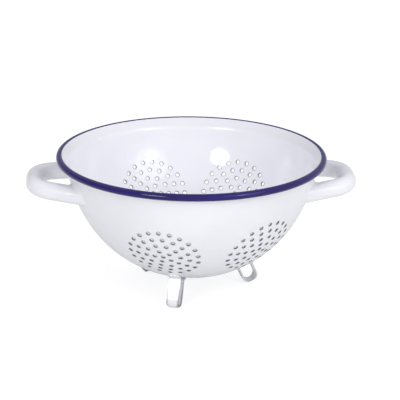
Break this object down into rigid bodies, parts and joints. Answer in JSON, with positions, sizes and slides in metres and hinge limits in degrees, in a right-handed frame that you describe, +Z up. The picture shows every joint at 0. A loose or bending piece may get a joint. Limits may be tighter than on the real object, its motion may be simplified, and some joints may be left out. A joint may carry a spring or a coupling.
{
  "type": "colander",
  "caption": "Round enamelled steel colander: perforated deep bowl with a rolled coloured rim, tube loop handles and bent strap feet, for draining and rinsing food.",
  "frame": {"origin": "on the bowl's axis, in the plane that the feet stand on", "axes": "+Z up along the bowl's axis, +X to the right through both handles, -Y to the front"},
  "size_m": [0.2948, 0.2414, 0.1269],
  "materials": {
    "white_enamel": "glossy vitreous enamel on steel",
    "blue_enamel": "glossy vitreous enamel on steel"
  },
  "bodies": {
    "root": {"bowl": "white_enamel", "rim_bead": "blue_enamel", "handle_left": "white_enamel", "handle_right": "white_enamel", "handle_left_front_weld": "white_enamel", "handle_left_rear_weld": "white_enamel", "handle_right_front_weld": "white_enamel", "handle_right_rear_weld": "white_enamel", "foot_front": "white_enamel", "foot_right": "white_enamel", "foot_rear": "white_enamel"}
  },
  "joints": []
}
